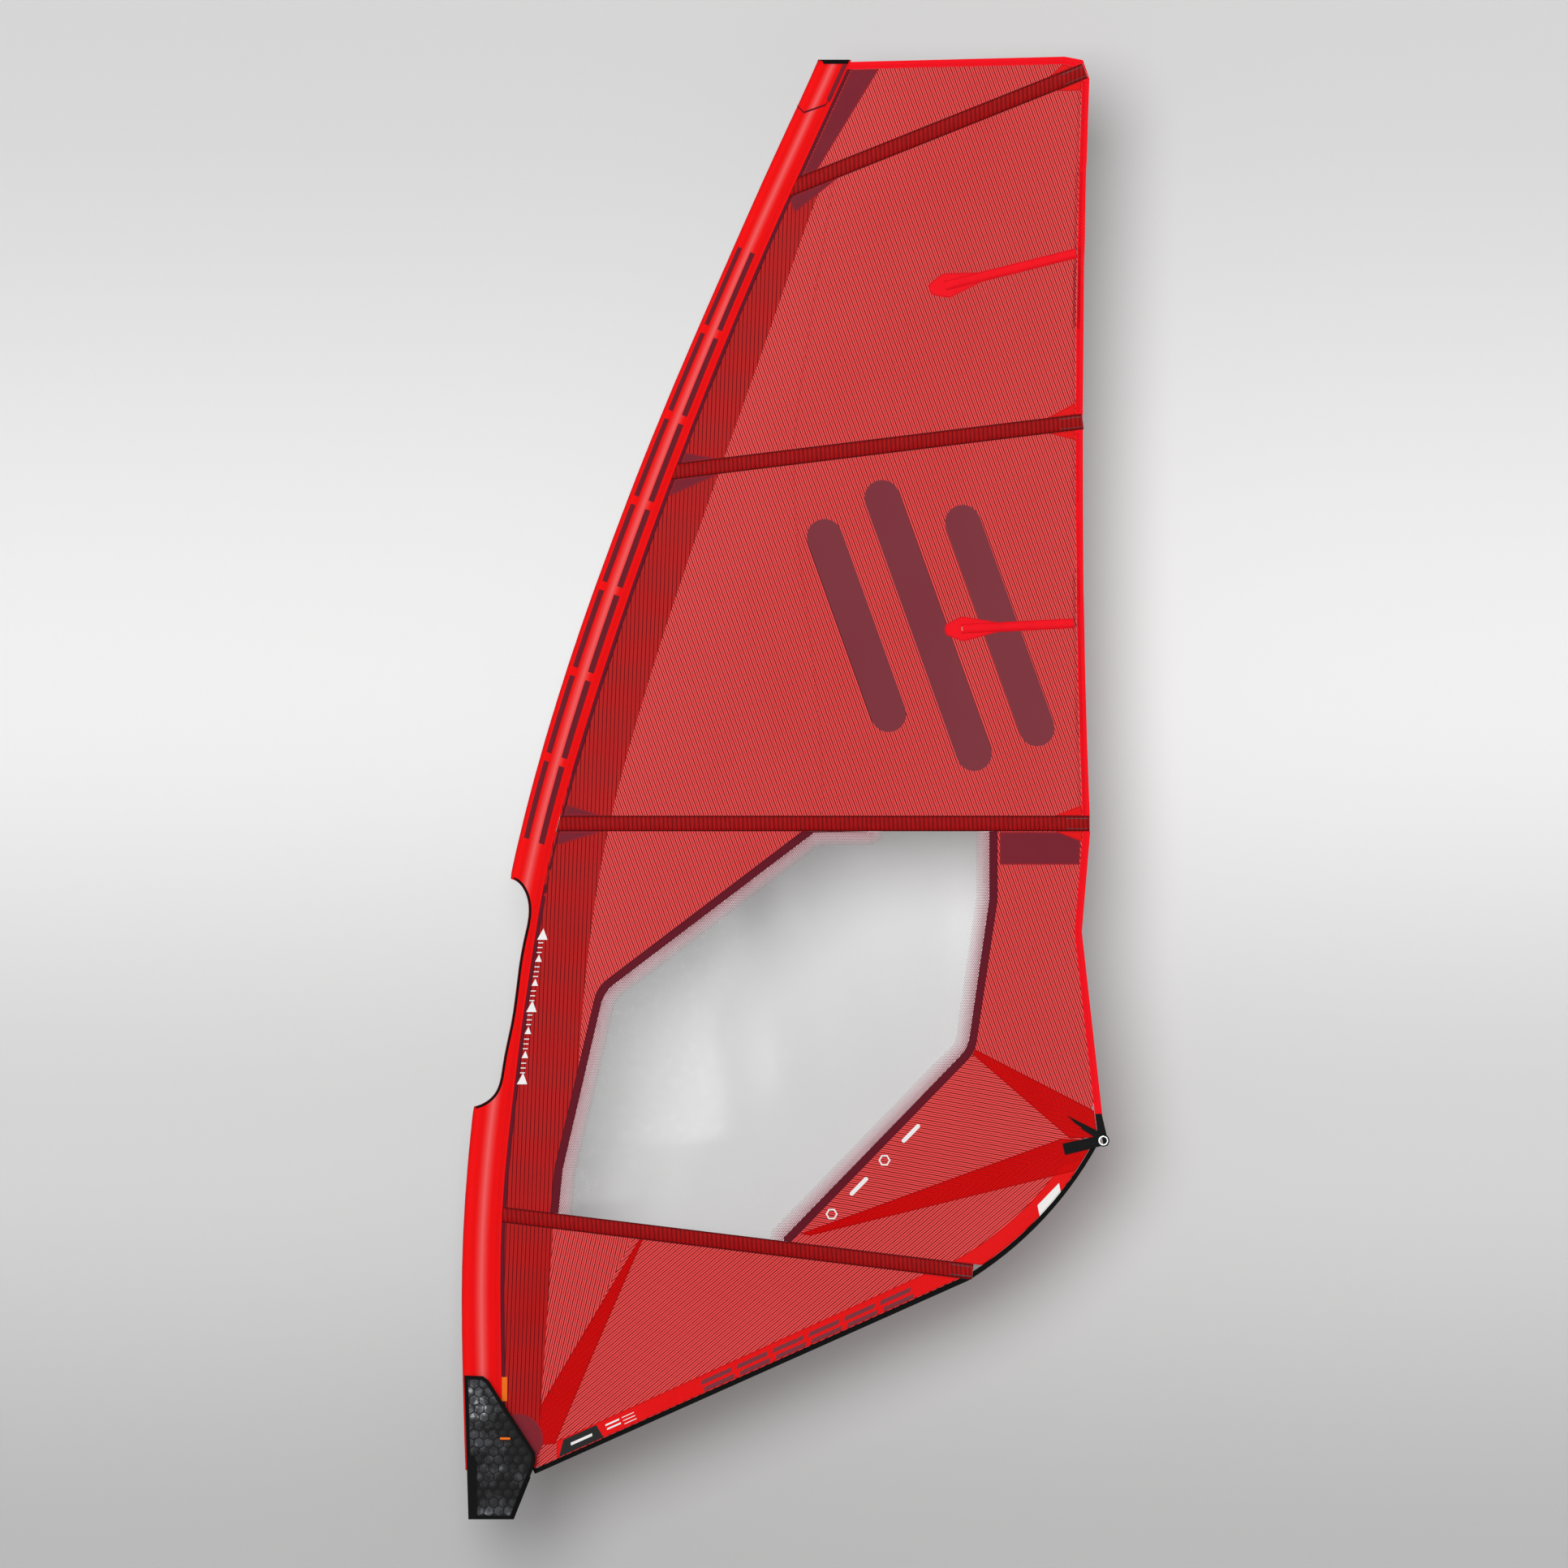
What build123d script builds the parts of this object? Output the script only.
"""A rigged-size windsurf sail as separate pieces: sleeve, film panels, battens, clew and tack gear.

Frame: X runs from the mast sleeve to the leech, Z up the sail, Y across it, in millimetres.
The origin is on the sleeve's centre line at the foot of the tack fairing.
"""
from build123d import *
import os
from functools import lru_cache
from itertools import pairwise
from math import acos, cos, hypot, sin

# ---- Driving dimensions -------------------------------------------------------------------

SLEEVE_FOOT = 130.0
SLEEVE_TOP = 3870.0
STATIONS = 20
# The sleeve's front edge and the seam behind it, as (x, z), from foot to head.
SLEEVE_FRONT = [(-42, 130), (-50, 400), (-52, 585), (-47, 780), (-21, 1093), (75, 1694),
                (209, 2199), (417, 2780), (663, 3361), (893, 3870)]
LUFF_SEAM = [(52, 130), (50, 327), (47, 542), (50, 800), (73, 1059), (120, 1425),
             (185, 1790), (310, 2221), (491, 2737), (717, 3297), (977, 3870)]
SLEEVE_HALF_LOW = 20.0
SLEEVE_HALF_TOP = 16.0
SLEEVE_TAIL = 1.2
SLEEVE_CLOTH = 0.8
BINDING_CLOTH = 0.8
BINDING_CLEAR = 0.25
BINDING_WIDTH = 7.0
HEAD_BINDING_HEIGHT = 11.0
# The cup in the sleeve's head that rests on the mast's tip.
PLUG_R, PLUG_BORE_R, PLUG_LENGTH, PLUG_FLOOR, PLUG_TOP = 12.0, 9.0, 70.0, 8.0, 3855.0
PLUG_ROUND = 4.0
# The boom opening in the sleeve, from its upper end down to its lower end.
CUTOUT = [(52, 1698), (98, 1689), (124, 1640), (112, 1532), (80, 1317), (58, 1209),
          (34, 1126), (-5, 1098), (-40, 1093)]

FILM = 0.3
CLEAR = 0.05
PANEL_GAP = 0.5
LUFF_GAP = 2.5
SEAM_TAPE_WIDTH = 12.0
LEECH_TAPE_WIDTH = 19.0
FOOT_TAPE_WIDTH = 12.0
TAPE_HALF = 0.6
FOOT_BAND_WIDTH = 43.0

HEAD_CORNER = [(1547, 3878), (1595, 3869), (1612, 3820)]
UPPER_LEECH = [(1612, 3820), (1599, 3329), (1595, 2909), (1597, 2458), (1614, 1845)]
LOWER_LEECH = [(1614, 1845), (1614, 1821), (1592, 1558), (1646, 1074), (1648, 1020)]
CLEW_CORNER = (1648, 1020)
FOOT_ARC_MIDDLE = (1505, 812)
FOOT_CORNER = (1291, 633)
TACK_CORNER = (143, 121)
TACK_CUT = [(120, 162), (54, 168)]

# The belly: its depth is a share of the chord, and it is flat again at BELLY_END.
BELLY_SHARE = 0.035
BELLY_END = 1510.0
CLEW_HEIGHT = 1004.0
BELLY_END_SLOPE = 0.89
BELLY_FOOT, BELLY_FULL = 200.0, 900.0
SKIN_ROWS = (60, 300, 480, 656, 830, 1004, 1400, 1845, 2350, 2850, 3350, 3950)
SKIN_COLUMNS = (-0.1, 0, 0.08, 0.17, 0.27, 0.38, 0.5, 0.63, 0.78, 1.0)
SKIN_END = 1760.0
REACH = 200.0

# Each batten's line, from its luff end at the sleeve to its leech end, from the head down.
BATTENS = [((832, 3534), (1601, 3841)), ((509, 2778), (1595, 2911)),
           ((202, 1845), (1613, 1845)), ((54, 808), (1303, 656))]
POCKET_WIDTH, POCKET_HALF = 41.0, 4.5
CAVITY_WIDTH, CAVITY_HALF = 36.0, 3.6
POCKET_LUFF_END = 34.0
BATTEN_WIDTH, BATTEN_HALF = 12.0, 1.5
BATTEN_LUFF_GAP = 24.0

# Batten tensioner, measured inwards along the batten from its leech end.
HOUSING_FROM, HOUSING_TO = 4.0, 62.0
HOUSING_WIDTH, HOUSING_HALF = 30.0, 3.2
CHANNEL_FROM, CHANNEL_WIDTH = 10.0, 14.4
SCREW_R, SCREW_HOLE_R = 2.5, 2.58
SCREW_HEAD_R, SCREW_HEAD_FROM = 3.1, 0.5
SCREW_TIP = 44.0
COLLAR_FROM, COLLAR_TO, COLLAR_R = 10.2, 12.2, 3.1
HEX_SOCKET_R, HEX_SOCKET_DEPTH = 1.5, 2.0
FERRULE_FROM, FERRULE_TO, FERRULE_WIDTH, FERRULE_HALF = 24.0, 60.0, 14.0, 3.0
FERRULE_BORE_TO, FERRULE_SLOT_FROM, SLOT_CLEARANCE = 50.0, 52.0, 0.1

# Short battens in the leech: (inner end, leech end).
MINI_BATTENS = [((1231, 3271), (1577, 3357)), ((1274, 2361), (1572, 2376))]
MINI_WIDTH, MINI_CAVITY, MINI_ROD = 24.0, 14.0, 8.0
MINI_POCKET, MINI_CLOTH, MINI_ROD_HALF = 4.0, 0.5, 0.8
# The mini pocket's patch, as (along, across) from the pocket's inner end.
MINI_PATCH = [(-44, -6), (-38, -16), (3, -33), (100, -13), (100, 13), (3, 33), (-38, 16), (-44, 6)]

# Seams between the cloths.
BODY_SEAM = [(1010, 3900), (962, 3691), (904, 3542), (770, 3168), (609, 2716), (402, 2081),
             (336, 1825), (275, 1420), (258, 1200), (250, 740)]
FOOT_BODY_SEAM = [(195, 840), (191, 775), (157, 284), (144, 100)]
SHAPING_SEAM = [(1005, 3950), (955, 3676), (874, 3183), (828, 2791), (854, 2468), (899, 1800)]
WINDOW_LUFF = [(876, 1830), (316, 1405), (205, 930), (188, 760)]
WINDOW_LEECH = [(811, 700), (811, 740), (1300, 1244), (1358, 1642), (1358, 1830)]
WINDOW_CORNER_R = 90.0
WINDOW_TAPE_WIDTH = 22.0
CLEW_SEAM = [(1290, 1238), (1700, 980)]
TACK_SEAM = [(424, 790), (155, 250), (100, 140)]

# Patches on the film, as (x, z) outlines.
HEAD_PATCH = [(960, 3870), (1057, 3850), (895, 3585), (800, 3500), (820, 3640)]
LEECH_PLATE = [(1375, 1822), (1590, 1822), (1586, 1736), (1375, 1736)]
UPPER_GUSSET = [(1298, 1252), (1306, 1230), (1560, 1010), (1640, 1012), (1632, 1080)]
LOWER_GUSSET = [(846, 757), (872, 752), (1600, 930), (1640, 1000), (1540, 1010)]
TACK_GUSSET = [(420, 745), (157, 301), (146, 196), (196, 200), (303, 452), (430, 745)]
TACK_PATCH_AT, TACK_PATCH_R = (96.0, 212.0), 68.0
# Darts at the upper battens' ends: their length, and their half widths at the tip and the back.
# The luff darts run on under the seam, and the top one has nearly nothing above its batten.
LUFF_DART, LUFF_DART_TIP, LUFF_DART_HALF = 120.0, 18.0, 64.0
LUFF_DART_HIDDEN = 30.0
LUFF_DART_ABOVE = (6.0, LUFF_DART_HALF, LUFF_DART_HALF)
LEECH_DART, LEECH_DART_TIP, LEECH_DART_HALF = 120.0, 10.0, 56.0

# Clew ring, its webbing's arms, tack block and fairing.
CLEW_RING_AT = (1649.5, 1004.0)
RING_BORE_R, RING_R, RING_HALF = 10.0, 13.0, 2.5
RING_ROUND = 1.0
WEBBING_R, WEBBING_FROM, WEBBING_TO = 16.0, 1.1, 2.4
WEBBING_ARMS = [[(1554, 1070), (1577, 1048), (1662, 994), (1662, 1016)],
                [(1541, 996), (1548, 966), (1655, 992), (1650, 1020)],
                [(1628, 1075), (1645, 1075), (1662, 1004), (1636, 1004)]]
TACK_BAR_Z, AXLE_Z = 120.0, 88.0
BLOCK_X, BLOCK_HALF_WIDTH, PLATE = 74.0, 24.0, 2.0
PLATE_WIDTH = 15.0
BAR_R, AXLE_R, SHEAVE_BORE_R = 3.0, 3.0, 3.06
AXLE_HEAD_R, AXLE_HEAD, AXLE_GAP = 4.4, 1.3, 0.2
SHEAVE_R, SHEAVE_GROOVE, SHEAVE_WIDTH, SHEAVE_PITCH = 11.0, 2.5, 12.0, 13.5
SHEAVE_RIM = 1.5
STRAP_WIDTH, STRAP, STRAP_LOOP_R, STRAP_TOP = 28.0, 1.5, 4.0, 250.0
FAIRING = [(-45, 381), (4, 379), (19, 368), (142, 176), (143, 153), (130, 112), (85, 0), (-34, 0)]
FAIRING_THICK, FAIRING_INNER = 4.0, 24.0
HINGE_LOW, HINGE_HIGH = (85, 0), (130, 112)
HINGE_GAP = 1.5
CLOSURE = [(-33, 2), (-11, 2), (-11, 150), (-20, 168), (-39, 168)]
CLOSURE_THICK = 2.0


# ---- Curves and regions -------------------------------------------------------------------

def across(points, z):
    """The x at height z on the smooth curve through points, which rise in z."""
    points = sorted(points, key=lambda p: p[1])
    slopes = []
    for k in range(len(points)):
        before, after = points[max(k - 1, 0)], points[min(k + 1, len(points) - 1)]
        slopes.append((after[0] - before[0]) / (after[1] - before[1]))
    for k, ((x0, z0), (x1, z1)) in enumerate(pairwise(points)):
        if z <= z1 or k == len(points) - 2:
            break
    step = z1 - z0
    t = (z - z0) / step
    rise = t * t * (3 - 2 * t)
    bend = step * (slopes[k] * t * (1 - t) ** 2 - slopes[k + 1] * t * t * (1 - t))
    return x0 + (x1 - x0) * rise + bend


def beside(points, gap):
    """The points moved sideways by gap, to the left of the way the line runs."""
    moved = []
    for k, (x, z) in enumerate(points):
        before, after = points[max(k - 1, 0)], points[min(k + 1, len(points) - 1)]
        run, rise = after[0] - before[0], after[1] - before[1]
        length = hypot(run, rise)
        moved.append((x - rise / length * gap, z + run / length * gap))
    return moved


def seam_points(gap, low, high, steps=STATIONS):
    """Points gap behind the luff seam, from height low up to high."""
    heights = [low + (high - low) * k / (steps - 1) for k in range(steps)]
    return [(across(LUFF_SEAM, z) + gap, z) for z in heights]


def polygon(points):
    """A flat region with straight edges, in the sail's plane."""
    with BuildSketch() as region:
        with BuildLine():
            Polyline(*points, close=True)
        make_face()
    return region.sketch


def strip(ends, width):
    """The straight band of a width along the line between two ends."""
    return polygon(beside(ends, -width / 2) + beside(ends, width / 2)[::-1])


def side_region(points, far_x, gap, smooth=True):
    """The region from a seam, moved along X by gap, to the upright line at far_x."""
    shifted = [(x + gap, z) for x, z in points]
    with BuildSketch() as region:
        with BuildLine():
            if smooth:
                Spline(*shifted)
            else:
                Polyline(*shifted)
            Polyline(shifted[-1], (far_x, shifted[-1][1]), (far_x, shifted[0][1]), shifted[0])
        make_face()
    return region.sketch


def on_batten(number, inward, sideways=0.0):
    """The (x, z) point at a distance inwards from a batten's leech end, and to its upper side."""
    (x0, z0), (x1, z1) = BATTENS[number]
    length = hypot(x1 - x0, z1 - z0)
    run, rise = (x1 - x0) / length, (z1 - z0) / length
    return x1 - inward * run - sideways * rise, z1 - inward * rise + sideways * run


def inward_to_seam(number, sideways, gap):
    """How far inwards the line beside a batten runs until it is gap behind the luff seam."""
    inward = 0.0
    for _ in range(30):
        x, z = on_batten(number, inward, sideways)
        inward += x - across(LUFF_SEAM, z) - gap
    return inward


def batten_band(number, width, start, luff_gap):
    """The straight band along a batten, from start to luff_gap behind the luff seam."""
    half = width / 2
    corners = [on_batten(number, start, half), on_batten(number, start, -half)]
    for side in (-half, half):
        corners.append(on_batten(number, inward_to_seam(number, side, luff_gap), side))
    return polygon(corners)


def between(upper, lower):
    """The region between two battens' pockets. None stands for the head or the foot."""
    clear = POCKET_WIDTH / 2 + PANEL_GAP
    over, under = 200.0, -1700.0
    top = [(-300, 4100), (2000, 4100)]
    bottom = [(2000, -100), (-300, -100)]
    if upper is not None:
        top = [on_batten(upper, -under, -clear), on_batten(upper, -over, -clear)]
    if lower is not None:
        bottom = [on_batten(lower, -over, clear), on_batten(lower, -under, clear)]
    return polygon(top + bottom)


def foot_edge(inset):
    """The foot's arc and its straight run, as an open line of points, moved into the sail."""
    corner = (FOOT_CORNER[0] - 0.6 * inset, FOOT_CORNER[1] + inset)
    middle = (FOOT_ARC_MIDDLE[0] - 0.75 * inset, FOOT_ARC_MIDDLE[1] + 0.66 * inset)
    clew = (CLEW_CORNER[0] - 1.1 * inset, CLEW_CORNER[1])
    tack = (TACK_CORNER[0], TACK_CORNER[1] + 1.1 * inset)
    return clew, middle, corner, tack


def edge_plan(leech_inset, foot_inset, luff_gap):
    """The sail's outline behind the luff seam, with its free edges moved inwards."""
    clew, middle, corner, tack = foot_edge(foot_inset)
    upper = [(x - leech_inset, z) for x, z in UPPER_LEECH]
    lower = [(x - leech_inset, z) for x, z in LOWER_LEECH[1:-1]]
    with BuildSketch() as plan:
        with BuildLine():
            luff = seam_points(luff_gap, TACK_CUT[-1][1], SLEEVE_TOP - 6 - leech_inset)
            Spline(*luff)
            head_end = (HEAD_CORNER[0][0], HEAD_CORNER[0][1] - leech_inset)
            corner_out = (HEAD_CORNER[1][0] - leech_inset, HEAD_CORNER[1][1] - leech_inset)
            Polyline(luff[-1], head_end, corner_out, upper[0])
            Spline(*upper)
            Polyline(upper[-1], *lower, clew)
            ThreePointArc(clew, middle, corner)
            Polyline(corner, tack, TACK_CUT[0], luff[0])
        make_face()
    return plan.sketch


# ---- The belly ----------------------------------------------------------------------------

def belly_end(z):
    """Where the sail is flat again behind its belly, at height z."""
    return BELLY_END - BELLY_END_SLOPE * max(0.0, CLEW_HEIGHT - z)


def belly(x, z):
    """How far the film stands out of the sail's plane at (x, z)."""
    luff = across(LUFF_SEAM, z)
    chord = belly_end(z) - luff
    share = min(max((x - luff) / chord, 0.0), 1.0)
    rise = min(max((z - BELLY_FOOT) / (BELLY_FULL - BELLY_FOOT), 0.0), 1.0)
    depth = BELLY_SHARE * chord * rise * rise * (3 - 2 * rise)
    return depth * 6.75 * share * (1 - share) ** 2


@lru_cache(maxsize=None)
def skin(front, back):
    """A closed sheet of flat facets that follows the belly, between two offsets along Y."""
    rows = []
    for z in SKIN_ROWS:
        luff = across(LUFF_SEAM, z)
        xs = [luff + share * (belly_end(z) - luff) for share in SKIN_COLUMNS] + [SKIN_END]
        rows.append([Vector(x, -belly(x, z), z) for x in xs])
    to_front, to_back = Vector(0, front, 0), Vector(0, back, 0)
    facets = []
    for low, high in pairwise(rows):
        for k in range(len(low) - 1):
            for corners in ((low[k], low[k + 1], high[k + 1]), (low[k], high[k + 1], high[k])):
                for offset_y in (to_front, to_back):
                    facets.append([corner + offset_y for corner in corners])
    right, left = [row[-1] for row in rows], [row[0] for row in rows]
    rim = rows[0] + right[1:] + rows[-1][-2::-1] + left[-2::-1]
    for a, b in pairwise(rim):
        facets.append([a + to_front, b + to_front, b + to_back, a + to_back])
    return Solid(Shell([Face(Wire.make_polygon(corners)) for corners in facets]))


# ---- Writing the pieces -------------------------------------------------------------------

def finish(piece, label):
    piece.part.label = label
    export_step(piece.part, f"parts/{label}.step")


def film_piece(label, plans, front=-FILM / 2, back=FILM / 2, without=()):
    """One piece cut from a sheet: each plan is a list of regions whose common area is used."""
    with BuildPart() as piece:
        for regions in plans:
            with BuildSketch(Plane.XZ):
                add(regions[0])
                for region in regions[1:]:
                    add(region, mode=Mode.INTERSECT)
                for region in without:
                    add(region, mode=Mode.SUBTRACT)
            extrude(amount=REACH, both=True)
        add(skin(front, back), mode=Mode.INTERSECT)
    finish(piece, label)


def layer(level):
    """Front and back offsets of a patch on the front of the film, one level per patch."""
    back = -FILM / 2 - CLEAR - (level - 1) * (FILM + CLEAR)
    return {"front": back - FILM, "back": back}


# ---- Sleeve -------------------------------------------------------------------------------

def sleeve_form(grow, low=SLEEVE_FOOT, high=SLEEVE_TOP, stations=STATIONS):
    """The sleeve's solid teardrop form, grown outwards by grow."""
    with BuildPart() as form:
        for k in range(stations):
            z = low + (high - low) * k / (stations - 1)
            share = (z - SLEEVE_FOOT) / (SLEEVE_TOP - SLEEVE_FOOT)
            half = SLEEVE_HALF_LOW + (SLEEVE_HALF_TOP - SLEEVE_HALF_LOW) * share + grow
            front, tail = across(SLEEVE_FRONT, z) - grow, across(LUFF_SEAM, z) + grow
            centre = front + half
            lean = acos(half / (tail - centre))
            touch_x, touch_y = centre + half * cos(lean), half * sin(lean)
            tail_half = SLEEVE_TAIL + grow
            with BuildSketch(Plane.XY.offset(z)):
                with BuildLine():
                    ThreePointArc((touch_x, touch_y), (front, 0), (touch_x, -touch_y))
                    Polyline((touch_x, -touch_y), (tail, -tail_half), (tail, tail_half),
                             (touch_x, touch_y))
                make_face()
        loft()
    return form.part


def cutout_region(margin):
    """The boom opening, widened by margin into the sleeve."""
    with BuildSketch() as region:
        with BuildLine():
            edge = beside(CUTOUT, margin)
            Spline(*edge)
            Polyline(edge[-1], (-200, edge[-1][1]), (-200, edge[0][1]), edge[0])
        make_face()
    return region.sketch


def make_sleeve():
    outer, inner = sleeve_form(0), sleeve_form(-SLEEVE_CLOTH, SLEEVE_FOOT - 5, SLEEVE_TOP + 5)
    with BuildPart() as sleeve:
        add(outer)
        add(inner, mode=Mode.SUBTRACT)
        with BuildSketch(Plane.XZ):
            add(cutout_region(0))
        extrude(amount=REACH, both=True, mode=Mode.SUBTRACT)
    finish(sleeve, "luff_sleeve")


def make_sleeve_bindings():
    """Bound edges: the boom opening's and the sleeve's top."""
    outer, inner = sleeve_form(BINDING_CLEAR + BINDING_CLOTH), sleeve_form(BINDING_CLEAR)
    with BuildPart() as binding:
        with BuildSketch(Plane.XZ):
            add(cutout_region(BINDING_WIDTH))
            add(cutout_region(0), mode=Mode.SUBTRACT)
        extrude(amount=REACH, both=True)
        with BuildSketch(Plane.XY.offset(SLEEVE_TOP - HEAD_BINDING_HEIGHT)):
            with Locations((across(LUFF_SEAM, SLEEVE_TOP) - 40, 0)):
                Rectangle(200, 200)
        extrude(amount=HEAD_BINDING_HEIGHT)
        add(outer, mode=Mode.INTERSECT)
        add(inner, mode=Mode.SUBTRACT)
    finish(binding, "sleeve_bindings")


def make_mast_tip_plug():
    """The cup inside the sleeve's top that rests on the mast's tip."""
    top = Vector(across(SLEEVE_FRONT, PLUG_TOP) + SLEEVE_HALF_TOP, 0, PLUG_TOP)
    below = PLUG_TOP - PLUG_LENGTH
    foot = Vector(across(SLEEVE_FRONT, below) + SLEEVE_HALF_TOP, 0, below)
    with BuildPart() as plug:
        with BuildSketch(Plane(origin=foot, z_dir=top - foot)):
            Circle(PLUG_R)
        extrude(amount=PLUG_LENGTH)
        fillet(plug.edges().sort_by(Axis.Z)[-1], radius=PLUG_ROUND)
        with BuildSketch(Plane(origin=foot, z_dir=top - foot)):
            Circle(PLUG_BORE_R)
        extrude(amount=PLUG_LENGTH - PLUG_FLOOR, mode=Mode.SUBTRACT)
    finish(plug, "mast_tip_plug")


# ---- Film panels, window and tapes --------------------------------------------------------

def window_region(grow):
    """The window's plan, widened by grow at its two long sides."""
    luff = beside(WINDOW_LUFF, -grow)
    leech = beside(WINDOW_LEECH, -grow)
    with BuildSketch() as region:
        with BuildLine():
            Polyline(*luff, *leech, close=True)
        make_face()
        corners = [region.vertices().sort_by_distance(point)[0] for point in (luff[1], leech[2])]
        fillet(corners, radius=WINDOW_CORNER_R)
    return region.sketch


def clew_hole():
    """The round place in the cloth that the clew ring fills."""
    with BuildSketch() as hole:
        with Locations(CLEW_RING_AT):
            Circle(RING_R + PANEL_GAP)
    return hole.sketch


def make_panels():
    film = edge_plan(LEECH_TAPE_WIDTH, FOOT_TAPE_WIDTH, LUFF_GAP)
    half = PANEL_GAP / 2
    luff_side, body_side = side_region(BODY_SEAM, -300, -half), side_region(BODY_SEAM, 1900, half)
    foot_luff = side_region(FOOT_BODY_SEAM, -300, -half, smooth=False)
    foot_body = side_region(FOOT_BODY_SEAM, 1900, half, smooth=False)
    fore, aft = side_region(SHAPING_SEAM, 0, -half), side_region(SHAPING_SEAM, 1900, half)
    window = window_region(half)
    above_clew = polygon([CLEW_SEAM[0], (600, 1672), (600, 2200), (2000, 2200), (2000, 1000), CLEW_SEAM[1]])
    below_clew = polygon([(x, z - PANEL_GAP) for x, z in
                          (CLEW_SEAM[0], (1000, 1421), (700, 500), (2000, 400), CLEW_SEAM[1])])
    at_tack = side_region(TACK_SEAM, 0, -half, smooth=False)
    at_foot = side_region(TACK_SEAM, 1900, half, smooth=False)

    film_piece("head_panel", [[film, between(None, 0)]])
    film_piece("luff_panel_upper", [[film, between(0, 1), luff_side]])
    film_piece("luff_panel_middle", [[film, between(1, 2), luff_side]])
    film_piece("luff_panel_lower", [[film, between(2, 3), luff_side]], without=[window])
    film_piece("luff_panel_tack", [[film, between(3, None), foot_luff]])
    film_piece("upper_body_panels", [[film, between(0, 1), body_side, fore],
                                     [film, between(0, 1), body_side, aft]])
    film_piece("middle_body_panels", [[film, between(1, 2), body_side, fore],
                                      [film, between(1, 2), body_side, aft]])
    shoulder = polygon([(200, 1100), (1060, 1852), (1060, 1900), (200, 1900)])
    film_piece("shoulder_panel", [[film, between(2, 3), body_side, shoulder]], without=[window])
    leech_half = polygon([(1100, 400), (1100, 2000), (2000, 2000), (2000, 400)])
    film_piece("leech_panel", [[film, between(2, 3), above_clew, leech_half]],
               without=[window, clew_hole()])
    lower_half = polygon([(700, 600), (700, 680), (1250, 1300), (2000, 1300), (2000, 600)])
    film_piece("clew_panel", [[film, between(2, 3), below_clew, lower_half]],
               without=[window, clew_hole()])
    film_piece("tack_panel", [[film, between(3, None), foot_body, at_tack]])
    film_piece("foot_panel", [[film, between(3, None), foot_body, at_foot]])
    film_piece("window_panel", [[window_region(-half), between(2, 3)]])


def make_tapes():
    whole = edge_plan(0, 0, LUFF_GAP)
    film = edge_plan(LEECH_TAPE_WIDTH - PANEL_GAP, FOOT_TAPE_WIDTH - PANEL_GAP, LUFF_GAP - 1)
    pockets = [batten_band(k, POCKET_WIDTH + 2 * PANEL_GAP, -1, 200) for k in range(len(BATTENS))]
    holes = [film, clew_hole(), *pockets]
    leech_side = polygon([(900, 4000), (2000, 4000), (2000, 1022), (1400, 1022), (900, 3000)])
    foot_side = polygon([(100, 90), (100, 600), (1500, 1018), (2000, 1018), (2000, 90)])
    sides = {"front": -TAPE_HALF, "back": TAPE_HALF}
    film_piece("leech_tape", [[whole, leech_side]], without=holes, **sides)
    film_piece("foot_tape", [[whole, foot_side]], without=holes, **sides)
    beyond_tape = edge_plan(0, 0, LUFF_GAP + SEAM_TAPE_WIDTH)
    luff_side = polygon([(0, 190), (80, 190), (1100, 3700), (1100, 3845), (700, 3845), (0, 1000)])
    film_piece("luff_seam_tape", [[whole, luff_side]], without=[beyond_tape], **layer(1))
    rings = window_region(WINDOW_TAPE_WIDTH / 2)
    film_piece("window_tape", [[rings, between(2, 3)]],
               without=[window_region(-WINDOW_TAPE_WIDTH / 2)], **layer(1))


# ---- Patches ------------------------------------------------------------------------------

def dart(number, tip, tip_half, back, below, above):
    """A dart along a batten: narrow at tip, and at back reaching below and above the batten."""
    return polygon([on_batten(number, tip, tip_half), on_batten(number, tip, -tip_half),
                    on_batten(number, back, -below), on_batten(number, back, above)])


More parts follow.
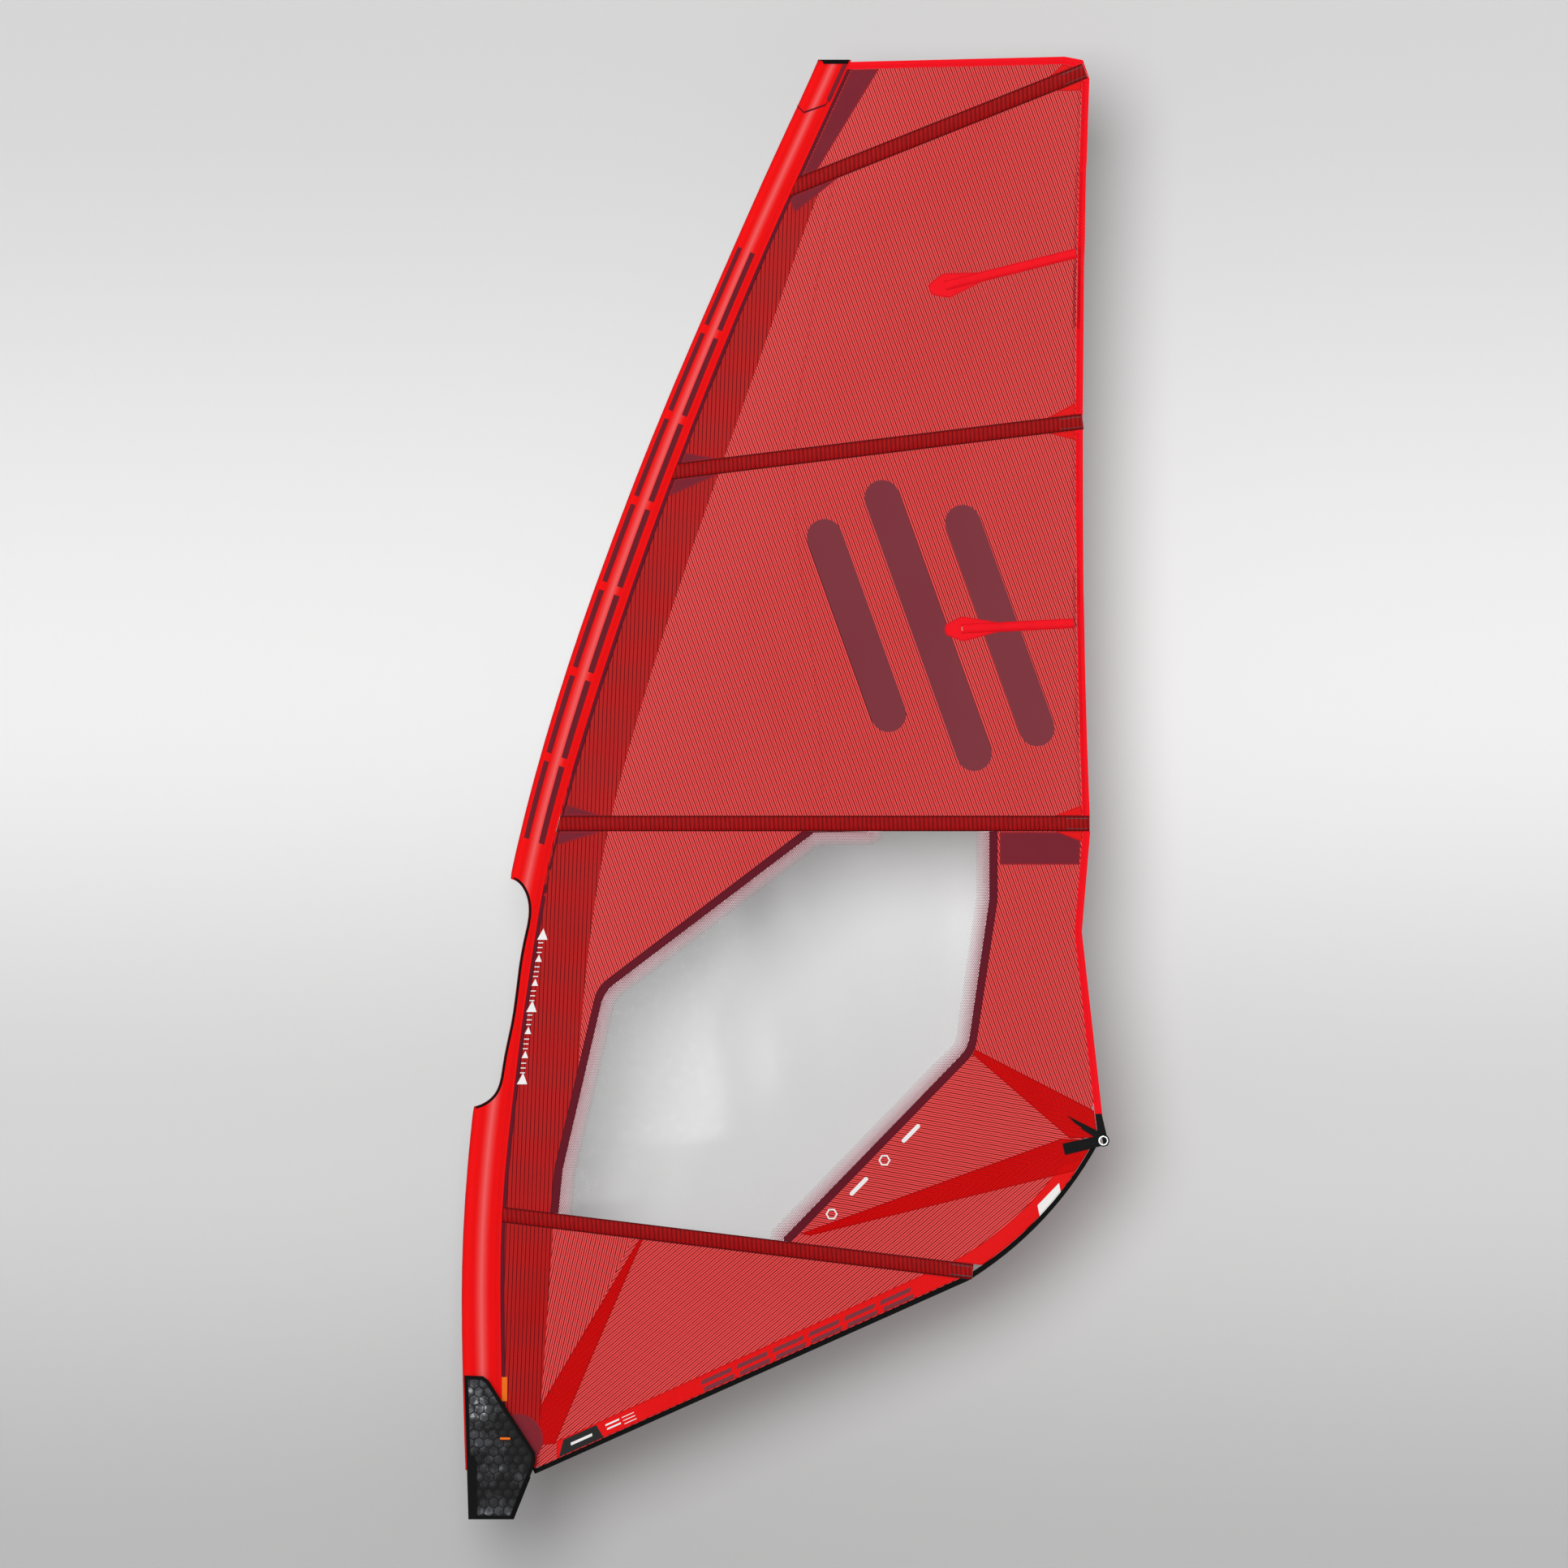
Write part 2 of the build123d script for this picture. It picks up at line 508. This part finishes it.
def make_patches():
    behind_tape = edge_plan(LEECH_TAPE_WIDTH + 1, FOOT_TAPE_WIDTH + 1, SEAM_TAPE_WIDTH + LUFF_GAP + 1)
    pocket_clear = [batten_band(k, POCKET_WIDTH + 2 * PANEL_GAP, -60, 0) for k in range(len(BATTENS))]
    film_piece("head_patch", [[behind_tape, polygon(HEAD_PATCH), between(None, 0)]], **layer(1))

    luff_darts, leech_darts = [], []
    for number, above in enumerate(LUFF_DART_ABOVE):
        seam = inward_to_seam(number, 0, SEAM_TAPE_WIDTH)
        tip, back = seam - LUFF_DART, seam + LUFF_DART_HIDDEN
        luff_dart = dart(number, tip, LUFF_DART_TIP, back, LUFF_DART_HALF, above)
        leech_dart = dart(number, LEECH_DART, LEECH_DART_TIP, 0, LEECH_DART_HALF, LEECH_DART_HALF)
        luff_darts.append([behind_tape, luff_dart])
        leech_darts.append([behind_tape, leech_dart])
    film_piece("batten_end_patches", [*luff_darts, [behind_tape, polygon(LEECH_PLATE)]],
               without=pocket_clear, **layer(1))
    film_piece("leech_patches", leech_darts, without=pocket_clear, **layer(2))

    film_piece("clew_gussets", [[behind_tape, polygon(UPPER_GUSSET)], [behind_tape, polygon(LOWER_GUSSET)]],
               without=[window_region(WINDOW_TAPE_WIDTH / 2 + 1), pocket_clear[3], clew_hole()],
               **layer(2))
    film_piece("tack_gusset", [[behind_tape, polygon(TACK_GUSSET)]], without=[pocket_clear[3]], **layer(2))
    inner = edge_plan(0, FOOT_BAND_WIDTH + FOOT_TAPE_WIDTH, 0.0)
    foot = polygon([(200, 60), (200, 700), (1430, 900), (1600, 960), (1720, 900), (1300, 500)])
    film_piece("foot_band", [[behind_tape, foot]], without=[inner, pocket_clear[3], clew_hole()],
               **layer(1))


def make_tack_patch():
    """The rounded patch that spreads the tack block's load."""
    behind_tape = edge_plan(0, FOOT_TAPE_WIDTH + 1, SEAM_TAPE_WIDTH + LUFF_GAP + 1)
    with BuildSketch() as disc:
        with Locations(TACK_PATCH_AT):
            Circle(TACK_PATCH_R)
    film_piece("tack_patch", [[disc.sketch, behind_tape]], **layer(3))


# ---- Battens, pockets and tensioners ------------------------------------------------------

def band_solid(regions, front, back):
    """Solid bands that follow the belly, between two offsets along Y."""
    with BuildPart() as band:
        with BuildSketch(Plane.XZ):
            for region in regions:
                add(region)
        extrude(amount=REACH, both=True)
        add(skin(front, back), mode=Mode.INTERSECT)
    return band.part


def make_batten_and_pocket(number):
    outside = batten_band(number, POCKET_WIDTH, 0, SEAM_TAPE_WIDTH + LUFF_GAP + 1)
    inside = batten_band(number, CAVITY_WIDTH, -20, POCKET_LUFF_END)
    hollow = band_solid([inside], -CAVITY_HALF, CAVITY_HALF)
    with BuildPart() as pocket:
        add(band_solid([outside], -POCKET_HALF, POCKET_HALF))
        add(hollow, mode=Mode.SUBTRACT)
    finish(pocket, f"batten_pocket_{number + 1}")

    start = FERRULE_SLOT_FROM + 0.3
    line = batten_band(number, BATTEN_WIDTH, start, POCKET_LUFF_END + BATTEN_LUFF_GAP)
    with BuildPart() as batten:
        add(band_solid([line], -BATTEN_HALF, BATTEN_HALF))
    finish(batten, f"batten_{number + 1}")


def end_plane(number, inward):
    """A plane across a batten at a distance from its leech end, facing inwards."""
    (x0, z0), (x1, z1) = BATTENS[number]
    x, z = on_batten(number, inward)
    return Plane(origin=(x, 0, z), x_dir=(0, 1, 0), z_dir=(x0 - x1, 0, z0 - z1))


def make_tensioner(number):
    with BuildPart() as housing:
        with BuildSketch(end_plane(number, HOUSING_FROM)):
            RectangleRounded(2 * HOUSING_HALF, HOUSING_WIDTH, 1.5)
        extrude(amount=HOUSING_TO - HOUSING_FROM)
        with BuildSketch(end_plane(number, CHANNEL_FROM)):
            Rectangle(4 * HOUSING_HALF, CHANNEL_WIDTH)
        extrude(amount=HOUSING_TO, mode=Mode.SUBTRACT)
        with BuildSketch(end_plane(number, 0)):
            Circle(SCREW_HOLE_R)
        extrude(amount=2 * CHANNEL_FROM, mode=Mode.SUBTRACT)
    finish(housing, f"tensioner_housing_{number + 1}")

    with BuildPart() as screw:
        with BuildSketch(end_plane(number, HOUSING_FROM)):
            Circle(SCREW_R)
        extrude(amount=SCREW_TIP - HOUSING_FROM)
        with BuildSketch(end_plane(number, SCREW_HEAD_FROM)):
            Circle(SCREW_HEAD_R)
        extrude(amount=HOUSING_FROM - SCREW_HEAD_FROM - 0.1)
        with BuildSketch(end_plane(number, HOUSING_FROM - 0.1)):
            Circle(SCREW_R)
        extrude(amount=0.2)
        with BuildSketch(end_plane(number, COLLAR_FROM)):
            Circle(COLLAR_R)
        extrude(amount=COLLAR_TO - COLLAR_FROM)
        with BuildSketch(end_plane(number, SCREW_HEAD_FROM)):
            RegularPolygon(HEX_SOCKET_R, 6)
        extrude(amount=HEX_SOCKET_DEPTH, mode=Mode.SUBTRACT)
    finish(screw, f"tensioner_screw_{number + 1}")

    with BuildPart() as ferrule:
        with BuildSketch(end_plane(number, FERRULE_FROM)):
            RectangleRounded(2 * FERRULE_HALF, FERRULE_WIDTH, 1.0)
        extrude(amount=FERRULE_TO - FERRULE_FROM)
        with BuildSketch(end_plane(number, FERRULE_FROM)):
            Circle(SCREW_HOLE_R)
        extrude(amount=FERRULE_BORE_TO - FERRULE_FROM, mode=Mode.SUBTRACT)
        with BuildSketch(end_plane(number, FERRULE_SLOT_FROM)):
            Rectangle(2 * (BATTEN_HALF + SLOT_CLEARANCE), BATTEN_WIDTH + 2 * SLOT_CLEARANCE)
        extrude(amount=FERRULE_TO - FERRULE_SLOT_FROM, mode=Mode.SUBTRACT)
    finish(ferrule, f"batten_ferrule_{number + 1}")


def make_mini_battens():
    """Two short pockets in the leech, each with a pointed patch at its inner end."""
    plans, cavities, rods, patches = [], [], [], []
    for inner, outer in MINI_BATTENS:
        plans.append(strip([inner, outer], MINI_WIDTH))
        cavities.append(strip([inner, outer], MINI_CAVITY))
        rods.append([strip([inner, outer], MINI_ROD)])
        run, rise = outer[0] - inner[0], outer[1] - inner[1]
        along, up = Vector(run, rise).normalized(), Vector(-rise, run).normalized()
        points = []
        for far, wide in MINI_PATCH:
            corner = Vector(*inner) + along * far + up * wide
            points.append((corner.X, corner.Y))
        patches.append(polygon(points))
    face = layer(2)["front"] - CLEAR
    outside = band_solid(plans, face - MINI_POCKET, face)
    hollow = band_solid(cavities, face - MINI_POCKET + MINI_CLOTH, face - MINI_CLOTH)
    under = band_solid(patches, **layer(2))
    with BuildPart() as mini_pockets:
        add(outside)
        add(hollow, mode=Mode.SUBTRACT)
        add(under)
    finish(mini_pockets, "mini_pockets")
    middle = face - MINI_POCKET / 2
    film_piece("mini_battens", rods, front=middle - MINI_ROD_HALF, back=middle + MINI_ROD_HALF)


# ---- Clew ---------------------------------------------------------------------------------

def make_clew():
    with BuildPart() as ring:
        with BuildSketch(Plane.XZ.offset(-RING_HALF)):
            with Locations(CLEW_RING_AT):
                Circle(RING_R)
                Circle(RING_BORE_R, mode=Mode.SUBTRACT)
        extrude(amount=2 * RING_HALF)
        fillet(ring.edges().filter_by(GeomType.CIRCLE).sort_by(SortBy.RADIUS)[-2:], radius=RING_ROUND)
    finish(ring, "clew_ring")

    with BuildSketch() as webbing_plan:
        with Locations(CLEW_RING_AT):
            Circle(WEBBING_R)
        for arm in WEBBING_ARMS:
            with BuildLine():
                Polyline(*arm, close=True)
            make_face()
        with Locations(CLEW_RING_AT):
            Circle(RING_R + CLEAR, mode=Mode.SUBTRACT)
    with BuildPart() as webbing:
        for plane in (Plane.XZ.offset(WEBBING_FROM), Plane.XZ.offset(-WEBBING_TO)):
            with BuildSketch(plane):
                add(webbing_plan.sketch)
            extrude(amount=WEBBING_TO - WEBBING_FROM)
    finish(webbing, "clew_webbing")


# ---- Tack ---------------------------------------------------------------------------------

def make_tack_block():
    left, right = BLOCK_X - BLOCK_HALF_WIDTH, BLOCK_X + BLOCK_HALF_WIDTH
    with BuildPart() as frame:
        for x in (left, right - PLATE):
            with BuildSketch(Plane.YZ.offset(x)):
                with Locations((0, (TACK_BAR_Z + AXLE_Z) / 2)):
                    SlotCenterToCenter(TACK_BAR_Z - AXLE_Z, PLATE_WIDTH, rotation=90)
            extrude(amount=PLATE)
        with BuildSketch(Plane.YZ.offset(left)):
            with Locations((0, TACK_BAR_Z)):
                Circle(BAR_R)
        extrude(amount=right - left)
        with BuildSketch(Plane.YZ.offset(left - 1)):
            with Locations((0, AXLE_Z)):
                Circle(AXLE_R + CLEAR)
        extrude(amount=right - left + 2, mode=Mode.SUBTRACT)
    finish(frame, "tack_block_frame")

    with BuildPart() as axle:
        reach = AXLE_GAP + AXLE_HEAD
        with BuildSketch(Plane.YZ.offset(left - reach)):
            with Locations((0, AXLE_Z)):
                Circle(AXLE_R)
        extrude(amount=right - left + 2 * reach)
        for x in (left - reach, right + AXLE_GAP):
            with BuildSketch(Plane.YZ.offset(x)):
                with Locations((0, AXLE_Z)):
                    Circle(AXLE_HEAD_R)
            extrude(amount=AXLE_HEAD)
    finish(axle, "sheave_axle")

    for number in (-1, 0, 1):
        middle = BLOCK_X + number * SHEAVE_PITCH
        half, top, bore = SHEAVE_WIDTH / 2, AXLE_Z + SHEAVE_R, AXLE_Z + SHEAVE_BORE_R
        with BuildPart() as sheave:
            with BuildSketch(Plane.XZ):
                with BuildLine():
                    left_rim, right_rim = middle - half + SHEAVE_RIM, middle + half - SHEAVE_RIM
                    Polyline((left_rim, top), (middle - half, top), (middle - half, bore),
                             (middle + half, bore), (middle + half, top), (right_rim, top))
                    ThreePointArc((right_rim, top), (middle, top - SHEAVE_GROOVE), (left_rim, top))
                make_face()
            revolve(axis=Axis((0, 0, AXLE_Z), (1, 0, 0)))
        finish(sheave, f"sheave_{number + 2}")


def make_tack_strap():
    """The webbing that loops under the block's bar and rises on both sides of the film."""
    inner, outer = STRAP_LOOP_R, STRAP_LOOP_R + STRAP
    with BuildPart() as strap:
        with BuildSketch(Plane.YZ.offset(BLOCK_X - STRAP_WIDTH / 2)):
            with BuildLine():
                ThreePointArc((-outer, TACK_BAR_Z), (0, TACK_BAR_Z - outer), (outer, TACK_BAR_Z))
                Line((outer, TACK_BAR_Z), (outer, STRAP_TOP))
                Line((outer, STRAP_TOP), (inner, STRAP_TOP))
                Line((inner, STRAP_TOP), (inner, TACK_BAR_Z))
                ThreePointArc((inner, TACK_BAR_Z), (0, TACK_BAR_Z - inner), (-inner, TACK_BAR_Z))
                Line((-inner, TACK_BAR_Z), (-inner, STRAP_TOP))
                Line((-inner, STRAP_TOP), (-outer, STRAP_TOP))
                Line((-outer, STRAP_TOP), (-outer, TACK_BAR_Z))
            make_face()
        extrude(amount=STRAP_WIDTH)
    finish(strap, "tack_strap")


def make_fairing():
    """The padded cover: a far side with the aft fold, and a near flap that swings open on it."""
    outer_y = FAIRING_INNER + FAIRING_THICK
    fold = polygon([HINGE_LOW, HINGE_HIGH, (HINGE_HIGH[0] - FAIRING_THICK, HINGE_HIGH[1]),
                    (HINGE_LOW[0] - FAIRING_THICK, 0)])
    with BuildPart() as back:
        with BuildSketch(Plane.XZ.offset(-outer_y)):
            add(polygon(FAIRING))
        extrude(amount=FAIRING_THICK)
        with BuildSketch(Plane.XZ.offset(-outer_y)):
            add(fold)
        extrude(amount=outer_y + FAIRING_INNER - 2)
    finish(back, "fairing_back")

    run, rise = HINGE_HIGH[0] - HINGE_LOW[0], HINGE_HIGH[1] - HINGE_LOW[1]
    low_x, high_x = HINGE_LOW[0] - run / rise * 10, HINGE_HIGH[0] + run / rise * 100
    beyond_hinge = polygon([(low_x - HINGE_GAP, -10), (300, -10), (300, HINGE_HIGH[1] + 100),
                            (high_x - HINGE_GAP, HINGE_HIGH[1] + 100)])
    with BuildPart() as flap:
        with BuildSketch(Plane.XZ.offset(FAIRING_INNER)):
            add(polygon(FAIRING))
            add(beyond_hinge, mode=Mode.SUBTRACT)
        extrude(amount=FAIRING_THICK)
    finish(flap, "fairing_flap")

    with BuildPart() as closure:
        with BuildSketch(Plane.XZ.offset(outer_y + CLEAR)):
            add(polygon(CLOSURE))
        extrude(amount=CLOSURE_THICK)
    finish(closure, "fairing_closure")


def main():
    os.makedirs("parts", exist_ok=True)
    make_sleeve()
    make_sleeve_bindings()
    make_mast_tip_plug()
    make_panels()
    make_tapes()
    make_patches()
    make_tack_patch()
    for number in range(len(BATTENS)):
        make_batten_and_pocket(number)
        make_tensioner(number)
    make_mini_battens()
    make_clew()
    make_tack_block()
    make_tack_strap()
    make_fairing()


main()
